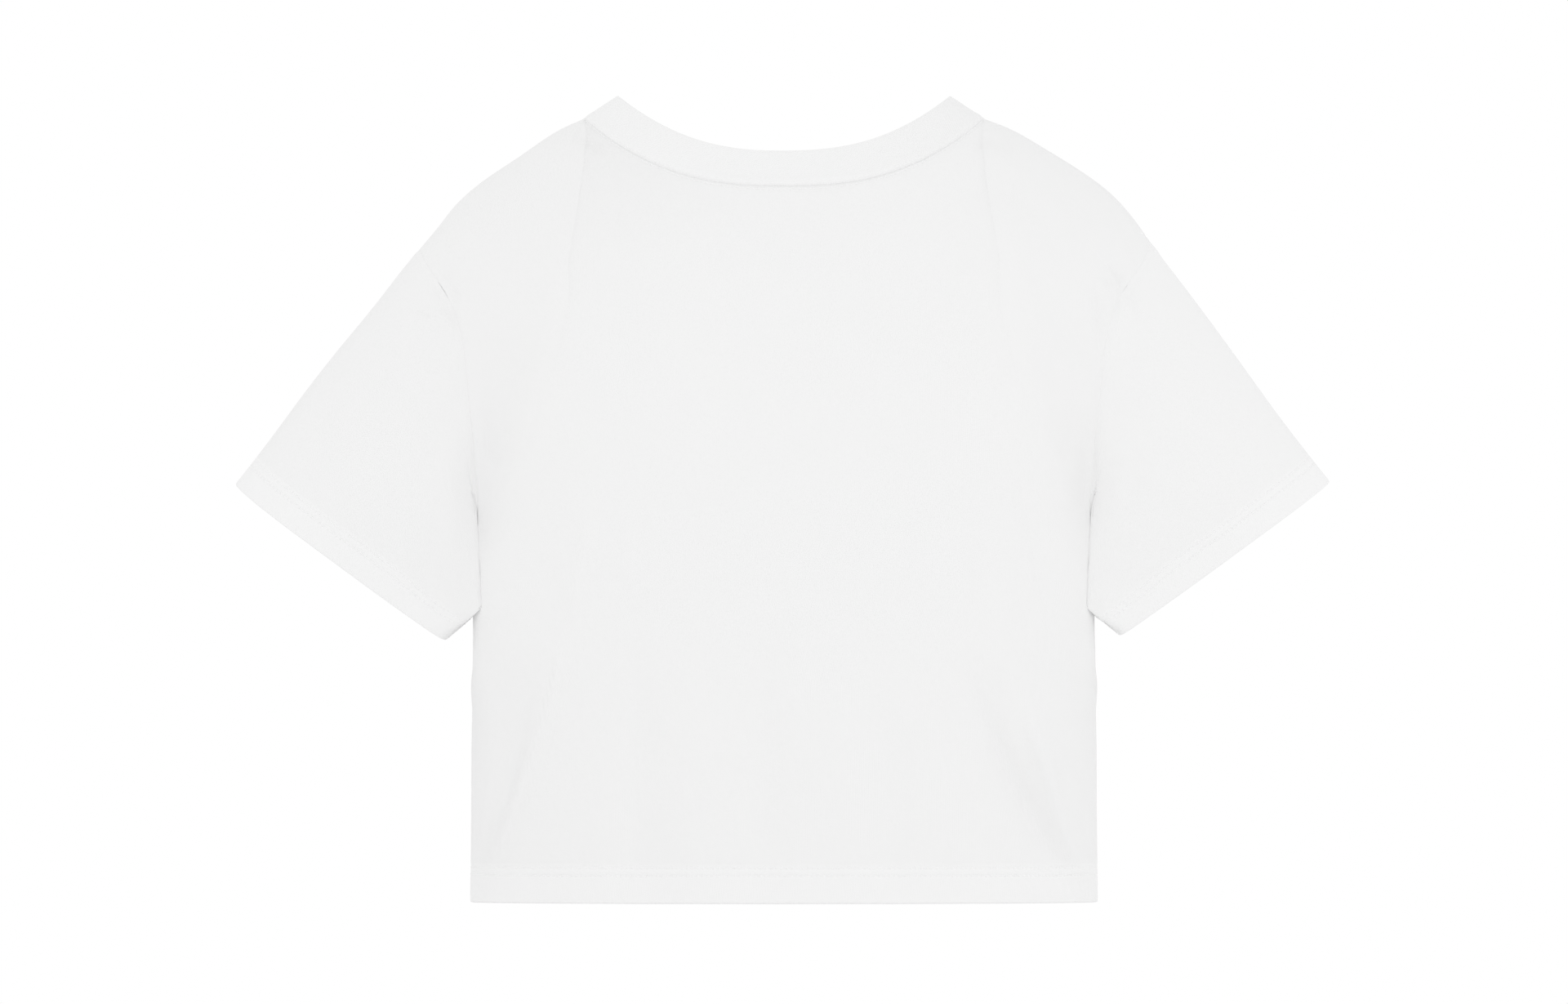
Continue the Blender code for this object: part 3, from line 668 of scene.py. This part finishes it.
class Cloth:
    """One cut piece: its outer grid, and what is measured on it.

    down and up are the distances from its first row and to its last one, edge the distance to
    its folded edge, and side the distance to the nearest seam beside it. double is 1 where the
    cloth is turned up at a hem, and on the stitched line below the collar, where its lighter
    white is both double cloth and a painted highlight.
    """

    def __init__(self, name, grid, slot, hub=None, ring=False):
        self.name, self.grid, self.slot, self.hub, self.ring = name, grid, slot, hub, ring
        self.size = grid.shape[0] * grid.shape[1]
        normals = grid_normals(grid, ring)
        axis = grid.mean(axis=1, keepdims=True) if ring else grid * [0, 0, 1]
        self.turned = (normals * (grid - axis)).sum() < 0
        self.normals = -normals if self.turned else normals
        self.down = steps_along(grid, 0)
        self.up = self.down[-1] - self.down
        self.edge = self.up + HEM / 2
        self.across = steps_along(closed(grid, 1) if ring else grid, 1)
        self.girth = self.across[:, -1:]
        if ring:
            seam = self.across[:, YOKE_STEPS : YOKE_STEPS + 1]
            self.side = np.abs(self.across[:, :-1] - seam)
        else:
            self.side = np.minimum(self.across, self.girth - self.across)
        self.double = np.zeros(grid.shape[:2])

    def shape(self, rise, thick):
        """Moves the cloth outwards by rise, and gives it its inner face and its rounded fold."""
        facing = -(self.inward * self.normals).sum(axis=-1, keepdims=True)
        mitre = 1 / np.clip(facing, 1 / LONGEST_MITRE, 1)
        outer = self.grid - self.inward * rise[..., None]
        inner = outer + self.inward * thick[..., None] * mitre
        last, other = outer[-1], inner[-1]
        ahead = unit(outer[-1] - outer[-3])
        turn = np.linspace(0, np.pi, RIM_STEPS + 2)[1:-1, None, None]
        half = np.linalg.norm(other - last, axis=-1, keepdims=True) / 2
        rim = (last + other) / 2 + (last - other) / 2 * np.cos(turn) + ahead * half * np.sin(turn)
        self.outer = outer
        self.stack = np.concatenate([outer, rim, inner[::-1]])
        self.double_stack = stacked(self.double)
        gone = steps_along(self.stack[: len(outer) + RIM_STEPS + 1], 0)
        inside = steps_along(self.stack[len(outer) + RIM_STEPS :], 0)[1:] + gone[-1]
        self.v = np.concatenate([gone, inside])

    def quads(self):
        """Quads between neighbours of the stacked grid, its closing strips, and each corner's u."""
        rows, columns = self.stack.shape[:2]
        index = np.arange(rows * columns).reshape(rows, columns)
        u = stacked(self.across[:, :columns])
        if self.ring:
            index = closed(index, 1)
            girth = stacked(self.girth)
            u = np.concatenate([u, girth], axis=1)
            after = np.arange(columns + 1) >= YOKE_STEPS
            left = u - girth * after
            after[YOKE_STEPS] = False
            right = u - girth * after
        else:
            left = right = u - self.girth[-1] / 2
        index, left, right = closed(index), closed(left), closed(right)
        faces = [quads_between(index[:-1], index[1:])]
        corners = (left[:-1, :-1], left[1:, :-1], right[1:, 1:], right[:-1, 1:])
        us = [np.stack(corners, axis=-1).reshape(-1, 4)]
        if not self.ring:
            half = rows // 2
            low, high = index[:half], index[:-1][::-1][:half]
            faces.append(quads_between(high[:, 0][None], low[:, 0][None])[:, ::-1])
            faces.append(quads_between(low[:, -1][None], high[:, -1][None])[:, ::-1])
            us += [np.zeros(face.shape) for face in faces[1:]]
        faces, us = np.concatenate(faces), np.concatenate(us)
        return (faces[:, ::-1], us[:, ::-1]) if self.turned else (faces, us)

    def line(self, measure, value):
        """Outer points and outward directions where a measure down the columns reaches a value."""
        rising = measure[-1, 0] > measure[0, 0]
        before_value = measure < value if rising else measure > value
        row = np.clip(before_value.sum(axis=0), 1, len(measure) - 1)
        column = np.arange(self.grid.shape[1])
        before, after = measure[row - 1, column], measure[row, column]
        part = np.clip((value - before) / (after - before), 0, 1)[:, None]
        points = self.outer[row - 1, column] * (1 - part) + self.outer[row, column] * part
        inward = self.inward[row - 1, column] * (1 - part) + self.inward[row, column] * part
        return points, -unit(inward)


def quads_between(above, below):
    """Quads between rows of point numbers, facing as the cross product of down and across."""
    corners = (above[:, :-1], below[:, :-1], below[:, 1:], above[:, 1:])
    return np.stack(corners, axis=-1).reshape(-1, 4)


def add_mesh(name, points, faces, material, corner_uv=None, floats=()):
    """Makes a piece's object, which rides on the one body and takes the material it is given."""
    mesh = bpy.data.meshes.new(name)
    mesh.from_pydata((points.reshape(-1, 3) * METRES).tolist(), [], faces.tolist())
    mesh.shade_smooth()
    mesh.set_sharp_from_angle(angle=np.radians(SHARP_ANGLE))
    mesh.materials.append(material)
    if corner_uv is not None:
        layer = mesh.uv_layers.new(name="cloth")
        layer.uv.foreach_set("vector", corner_uv.astype(np.float32).ravel())
    for label, values in floats:
        attribute = mesh.attributes.new(label, "FLOAT", "POINT")
        attribute.data.foreach_set("value", values.astype(np.float32).ravel())
    made = bpy.data.objects.new(name, mesh)
    bpy.context.scene.collection.objects.link(made)
    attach(made, "root")
    return made


def add_cloth(cloth, node, material):
    faces, u = cloth.quads()
    v = cloth.v.reshape(-1)[faces]
    uv = np.stack([u, -v], axis=-1) * METRES
    made = add_mesh(
        cloth.name, cloth.stack, faces, material, uv, [("double", cloth.double_stack)]
    )
    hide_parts(node)
    return made


def stitches(points, outward):
    """Stitches round a line: each is a thread that rises from the cloth and dips back into it."""
    points, outward = closed(points), closed(outward)
    gone = steps_along(points, 0)
    count = int(gone[-1] / STITCH_PITCH)
    pitch = gone[-1] / count
    part = np.linspace(0, 1, THREAD_RINGS)
    place = (np.arange(count)[:, None] + STITCH_START) * pitch + part * STITCH_LENGTH

    def read(values, at):
        return np.stack([np.interp(at, gone, values[:, k]) for k in range(3)], axis=-1)

    centre, out = read(points, place), unit(read(outward, place))
    tangent = unit(read(points, place + THREAD_LOOK) - read(points, place - THREAD_LOOK))
    side = unit(np.cross(tangent, out))
    height = THREAD * (THREAD_ARCH * np.sin(np.pi * part) - THREAD_SINK)
    centre = centre + out * height[:, None]
    turn = np.linspace(0, 2 * np.pi, THREAD_SIDES + 1)[:-1, None]
    ring = THREAD * (np.cos(turn) * side[:, :, None] + np.sin(turn) * out[:, :, None])
    tube = centre[:, :, None] + ring
    index = closed(np.arange(tube.size // 3).reshape(tube.shape[:3]), -1)
    corners = (index[:, :-1, :-1], index[:, :-1, 1:], index[:, 1:, 1:], index[:, 1:, :-1])
    return tube.reshape(-1, 3), np.stack(corners, axis=-1).reshape(-1, 4)


def add_stitches(name, lines, material):
    """Joins the stitches of several lines into one piece."""
    made = [stitches(*line) for line in lines]
    starts = np.cumsum([0] + [len(points) for points, _ in made])
    points = np.concatenate([points for points, _ in made])
    faces = np.concatenate([faces + start for (_, faces), start in zip(made, starts)])
    return add_mesh(name, points, faces, material)


# ---------------------------------------------------------------- materials


class Signal:
    """A socket's number in a shader. Its operators add Math nodes."""

    def __init__(self, shader, socket):
        self.shader, self.socket = shader, socket

    def math(self, operation, *values):
        inputs = {0: self, **dict(enumerate(values, 1))}
        return self.shader.node("ShaderNodeMath", {"operation": operation}, inputs)

    def __add__(self, other):
        return self.math("ADD", other)

    def __sub__(self, other):
        return self.math("SUBTRACT", other)

    def __rsub__(self, other):
        return (self * -1) + other

    def __mul__(self, other):
        return self.math("MULTIPLY", other)

    def __pow__(self, other):
        return self.math("POWER", other)

    def __abs__(self):
        return self.math("ABSOLUTE")

    def fraction(self):
        return self.math("FRACT")

    def wave(self):
        """A cosine of this many turns, moved to lie between 0 and 1."""
        return (self * (2 * np.pi)).math("COSINE") * 0.5 + 0.5


class Shader:
    """A material's nodes. node() adds one and returns the signal of one of its outputs."""

    def __init__(self, name, **constants):
        self.material = bpy.data.materials.new(name)
        self.material.use_nodes = True
        self.tree = self.material.node_tree
        self.surface = self.tree.nodes["Principled BSDF"]
        for socket, value in constants.items():
            self.surface.inputs[socket.replace("_", " ")].default_value = value

    def node(self, kind, settings=None, inputs=None, output=0):
        made = self.tree.nodes.new(kind)
        for setting, value in (settings or {}).items():
            setattr(made, setting, value)
        for socket, value in (inputs or {}).items():
            if isinstance(value, Signal):
                self.tree.links.new(value.socket, made.inputs[socket])
            else:
                made.inputs[socket].default_value = value
        return Signal(self, made.outputs[output])

    def mix(self, share, first, second):
        inputs = {0: share, 6: first, 7: second}
        return self.node("ShaderNodeMix", {"data_type": "RGBA"}, inputs, output=2)

    def relief(self, strength, distance, height):
        inputs = {"Strength": strength, "Distance": distance, "Height": height}
        return self.node("ShaderNodeBump", {}, inputs)

    def feed(self, socket, value):
        self.tree.links.new(value.socket, self.surface.inputs[socket])


def grey(level):
    return (level, level, level, 1)


# the lighter white is double cloth at the hems, and along the neck's stitched line it is double
# cloth and a painted highlight
WHITE, DOUBLE_AND_HIGHLIGHT_WHITE = grey(0.845), grey(0.860)
THREAD_WHITE, THREAD_LIGHT = grey(0.87), grey(0.92)
WALE, COURSE = 0.9 * METRES, 0.72 * METRES  # width and height of one knitted loop
RIB = 1.7 * METRES  # width of one rib of the collar
LEG_SLANT = 0.6  # of a course
FURROW, LOOP = 0.7, 0.45  # shares of the jersey's relief
RIDGE = 0.8  # share of the rib's relief
JERSEY_RELIEF, RIB_RELIEF, THREAD_RELIEF = 0.00012, 0.00022, 0.00005
YARN = 0.5  # height of the yarn's own grain beside the pattern's
ROUGHNESS, ROUGHNESS_SPREAD = 0.8, 0.12


def knit(u, v):
    """Height of the jersey's loops, 0 to 1: Vs in upright rows, with a furrow between rows."""
    leg = abs((u * (1 / WALE)).fraction() - 0.5) * 2
    loop = (v * (1 / COURSE) + leg * LEG_SLANT).wave()
    return (1 - leg**4 * FURROW) * (loop * LOOP + (1 - LOOP))


def ribbing(u, v):
    """Height of the collar's ribs, 0 to 1: rounded ridges up the band, with fine courses."""
    return (u * (1 / RIB)).wave() * RIDGE + (v * (1 / COURSE)).wave() * (1 - RIDGE)


def cotton(name, pattern, depth):
    """White cotton: knitted relief, uneven yarn, and a lighter white where it is double, which
    along the neck's stitched line is also a painted highlight.
    """
    shader = Shader(name, Sheen_Weight=0.12, Sheen_Roughness=0.6, Specular_IOR_Level=0.25)
    place = shader.node("ShaderNodeUVMap", {"uv_map": "cloth"})
    parts = shader.tree.nodes.new("ShaderNodeSeparateXYZ")
    shader.tree.links.new(place.socket, parts.inputs[0])
    u, v = Signal(shader, parts.outputs[0]), Signal(shader, parts.outputs[1])
    grain = {"Vector": place, "Scale": 2600, "Detail": 2, "Roughness": 0.6}
    yarn = shader.node("ShaderNodeTexNoise", {}, grain)
    cloud = shader.node("ShaderNodeTexNoise", {}, {"Vector": place, "Scale": 45, "Detail": 3})
    double = shader.node("ShaderNodeAttribute", {"attribute_name": "double"}, output="Fac")
    # lighter white where the cloth is double; along the neck's stitches it is also a painted
    # highlight
    white = shader.mix(double, WHITE, DOUBLE_AND_HIGHLIGHT_WHITE)
    span = {"From Min": 0.3, "From Max": 0.7, "To Min": 0.996, "To Max": 1.0}
    tone = shader.node("ShaderNodeMapRange", {}, {"Value": cloud, **span})
    scaled = {0: white, "Scale": tone}
    shader.feed("Base Color", shader.node("ShaderNodeVectorMath", {"operation": "SCALE"}, scaled))
    shader.feed("Roughness", cloud * ROUGHNESS_SPREAD + ROUGHNESS)
    shader.feed("Normal", shader.relief(0.5, depth, pattern(u, v) + yarn * YARN))
    return shader.material


def thread_material():
    """White sewing thread, with the fine turns of its twist."""
    shader = Shader("sewing_thread", Roughness=0.6, Specular_IOR_Level=0.3, Sheen_Weight=0.1)
    place = shader.node("ShaderNodeTexCoord", output="Object")
    bands = {"wave_type": "BANDS", "bands_direction": "DIAGONAL"}
    twist = shader.node("ShaderNodeTexWave", bands, {"Vector": place, "Scale": 900})
    fibre = shader.node("ShaderNodeTexNoise", {}, {"Vector": place, "Scale": 3000, "Detail": 2})
    shader.feed("Base Color", shader.mix(fibre, THREAD_WHITE, THREAD_LIGHT))
    shader.feed("Normal", shader.relief(0.4, THREAD_RELIEF, twist + fibre * YARN))
    return shader.material


# ---------------------------------------------------------------- the garment


def dress_panel(cloth):
    """Relief of a panel: creases, waves, its seams, the collar's stitches and its hem."""
    seam = np.minimum(cloth.side, cloth.down)
    beside = cloth.side < cloth.down
    along = np.where(beside, cloth.down, cloth.across)
    x, _, z = np.moveaxis(cloth.grid, -1, 0)
    wide = np.abs(x)
    by_sleeve = smoothstep((wide - REST_WIDE) / REST_FADE) * bump(z - REST_HIGH, REST_REACH)
    clear = smoothstep(seam / WAVE_CLEAR) * (1 - by_sleeve)
    hem = 1 - smoothstep((cloth.up - BODY_BAND) / HEM_STIFF_FADE)
    rise = crease_rise(cloth.grid, CREASES["body"]) + wave_rise(cloth.grid)
    rise *= clear * (1 - HEM_STIFF * hem)
    rise += crease_rise(cloth.grid, CREASES["armholes"]) * beside_seam(seam)
    at_neck = np.zeros(seam.shape)
    at_neck[:, NECK] = 1 - beside[:, NECK]
    neck_rise = seam_rise(NECK_SEAM, seam, along, neck_depth(x))
    rise += np.where(at_neck > 0, neck_rise, seam_rise(FLAT_SEAM, seam, along))
    beside_side = smoothstep(cloth.side / SIDE_CLEAR)
    rise += stitch_rise(cloth.edge, cloth.across, BODY_STITCHES) * beside_side
    groove = smoothstep((NECK_WIDE + NECK_STITCH_PAST - wide) / NECK_STITCH_FADE)
    groove *= smoothstep(cloth.side / STITCHES_CLEAR)
    from_stitches = cloth.down - NECK_STITCHES
    rise -= NECK_STITCH_DIP * bump(from_stitches, NECK_STITCH_DIP_WIDTH) * groove
    turned_up = 1 - smoothstep((cloth.edge - BODY_BAND) / DOUBLE_FADE)
    # along the neck's stitched line, the stripe of lighter white is double cloth and a painted
    # highlight
    cloth.double = np.maximum(turned_up, at_neck * bump(from_stitches, NECK_ALLOWANCE_AND_HIGHLIGHT))
    cloth.shape(rise, JERSEY + (HEM - JERSEY) * cloth.double)


def dress_sleeve(cloth, side):
    """Relief of a sleeve: creases, waves, its armhole and underarm seams, and its cuff hem."""
    from_under = np.abs(2 * ring_turns(cloth.grid[0]) - 1)
    clear = smoothstep(cloth.down / WAVE_CLEAR)
    clear *= 1 - leaning(from_under, cloth.down / cloth.down[-1])
    rise = (crease_rise(cloth.grid, CREASES[side]) + SLEEVE_WAVES * wave_rise(cloth.grid)) * clear
    rise += crease_rise(cloth.grid, CREASES["armholes"]) * beside_seam(cloth.down)
    along = cloth.across[:, :-1]
    seam = np.minimum(cloth.side, cloth.down)
    rise += seam_rise(FLAT_SEAM, seam, np.where(cloth.side < cloth.down, cloth.down, along))
    rise += SLEEVE_ROLL * bump(cloth.down - SLEEVE_ROLL_AT, SLEEVE_ROLL_WIDTH)
    rise += stitch_rise(cloth.edge, along, CUFF_STITCHES) * smoothstep(cloth.down / STITCHES_CLEAR)
    cloth.double = 1 - smoothstep((cloth.edge - CUFF_BAND) / DOUBLE_FADE)
    cloth.shape(rise, JERSEY + (HEM - JERSEY) * cloth.double)


def dress_collar(cloth):
    """Relief of the collar: its seam, and a slight wave along its folded edge."""
    cloth.double = np.ones(cloth.grid.shape[:2])
    along = cloth.across[:, :-1]
    rise = seam_rise(NECK_SEAM, cloth.down, along, neck_depth(cloth.grid[..., 0]))
    rise += COLLAR_PROUD * smoothstep(cloth.down / COLLAR_STEP)
    rise += COLLAR_WAVES * wave_rise(cloth.grid) * smoothstep(cloth.down / COLLAR_WAVE_CLEAR)
    cloth.shape(rise, np.full(rise.shape, COLLAR))


def round_both(back_line, front_line, columns=slice(None)):
    """A closed line round the body: along the back panel's line, and back along the front's."""
    pairs = zip(back_line, front_line)
    return tuple(np.concatenate([back[columns], front[columns][::-1]]) for back, front in pairs)


def build_garment():
    """Makes the five cut pieces and their rows of stitches."""
    back, front = panel_grid("back"), panel_grid("front")
    back_cloth = Cloth("back_cloth", back, "jersey")
    front_cloth = Cloth("front_cloth", front, "jersey")
    collar = Cloth("collar_rib", collar_grid(back, front), "rib", ring=True)
    sleeves = {}
    for side in ("left", "right"):
        grid = sleeve_grid(back, front, side)
        hub = np.array([grid[0, 0, 0], 0, ARMHOLE_MIDDLE])
        sleeves[side] = Cloth("sleeve_cloth_" + side, grid, "jersey", hub, ring=True)
    share_seam_directions([back_cloth, front_cloth, collar, *sleeves.values()])
    jersey = cotton("white_jersey", knit, JERSEY_RELIEF)
    rib = cotton("white_rib", ribbing, RIB_RELIEF)
    thread = thread_material()
    dress_panel(back_cloth)
    dress_panel(front_cloth)
    dress_collar(collar)
    for side, cloth in sleeves.items():
        dress_sleeve(cloth, side)
    add_cloth(back_cloth, "back_panel", jersey)
    add_cloth(front_cloth, "front_panel", jersey)
    add_cloth(collar, "collar", rib)
    panels = (back_cloth, front_cloth)
    hem_lines = ([cloth.line(cloth.edge, row) for cloth in panels] for row in BODY_STITCHES)
    hem_rows = [round_both(*lines) for lines in hem_lines]
    add_stitches("hem_stitches", hem_rows, thread)
    neck_row = round_both(*(cloth.line(cloth.down, NECK_STITCHES) for cloth in panels), NECK)
    add_stitches("neck_stitches", [neck_row], thread)
    for side, cloth in sleeves.items():
        node = "sleeve_" + side
        add_cloth(cloth, node, jersey)
        rows = [cloth.line(cloth.edge, row) for row in CUFF_STITCHES]
        add_stitches("cuff_stitches_" + side, rows, thread)


# ---------------------------------------------------------------- camera, floor and light

LENS, SENSOR = 800, 36
PIXEL = 0.48657  # width of one of the picture's 1920 pixels at the garment
PICTURE_WIDE = 1920
MIDDLE_HEIGHT = -241.8
FLOOR_HEIGHT, FLOOR_RADIUS, FLOOR_CORNERS = -0.62, 1.4, 96
Light = namedtuple("Light", "name place size power")  # in metres and watts
LIGHTS = (
    Light("key", (2.9, -1.4, -0.3), 0.9, 5.2),
    Light("front", (0.4, -3.3, -0.2), 1.2, 3.8),
    Light("fill", (-2.4, -2.0, -0.4), 1.2, 4.2),
)


def set_camera():
    """Straight behind the garment, level, from so far away that nothing is foreshortened."""
    data = bpy.data.cameras.new("camera")
    data.lens, data.sensor_width = LENS, SENSOR
    camera = bpy.data.objects.new("camera", data)
    distance = LENS / SENSOR * PIXEL * PICTURE_WIDE * METRES
    camera.location = (0, -distance, MIDDLE_HEIGHT * METRES)
    camera.rotation_euler = (np.pi / 2, 0, 0)
    bpy.context.scene.collection.objects.link(camera)
    bpy.context.scene.camera = camera


def area_light(name, place, size, power):
    """A soft square light that faces the garment's middle."""
    data = bpy.data.lights.new(name, "AREA")
    data.shape, data.size, data.energy = "SQUARE", size, power
    light = bpy.data.objects.new(name, data)
    light.location = place
    aim = np.array([0, 0, MIDDLE_HEIGHT * METRES]) - place
    flat = np.hypot(aim[0], aim[1])
    light.rotation_euler = (np.arctan2(flat, -aim[2]), 0, np.arctan2(-aim[0], aim[1]))
    bpy.context.scene.collection.objects.link(light)


def set_stage():
    """A plain pale round floor, a white surround, and soft light mostly from the camera's side."""
    turn = np.linspace(0, 2 * np.pi, FLOOR_CORNERS + 1)[:-1]
    x, y = FLOOR_RADIUS * np.cos(turn), FLOOR_RADIUS * np.sin(turn)
    rim = np.stack([x, y, np.full(turn.shape, FLOOR_HEIGHT)], axis=-1)
    mesh = bpy.data.meshes.new("floor")
    mesh.from_pydata(rim.tolist(), [], [list(range(len(turn)))])
    shader = Shader("pale_floor", Base_Color=grey(0.95), Roughness=0.9, Specular_IOR_Level=0.0)
    mesh.materials.append(shader.material)
    floor = bpy.data.objects.new("floor", mesh)
    bpy.context.scene.collection.objects.link(floor)
    world = bpy.data.worlds.new("studio")
    world.use_nodes = True
    background = world.node_tree.nodes["Background"]
    background.inputs["Color"].default_value = (1, 1, 1, 1)
    background.inputs["Strength"].default_value = 1.0
    bpy.context.scene.world = world
    for light in LIGHTS:
        area_light(*light)
    bpy.context.scene.view_settings.view_transform = "Standard"


build_garment()
set_camera()
set_stage()
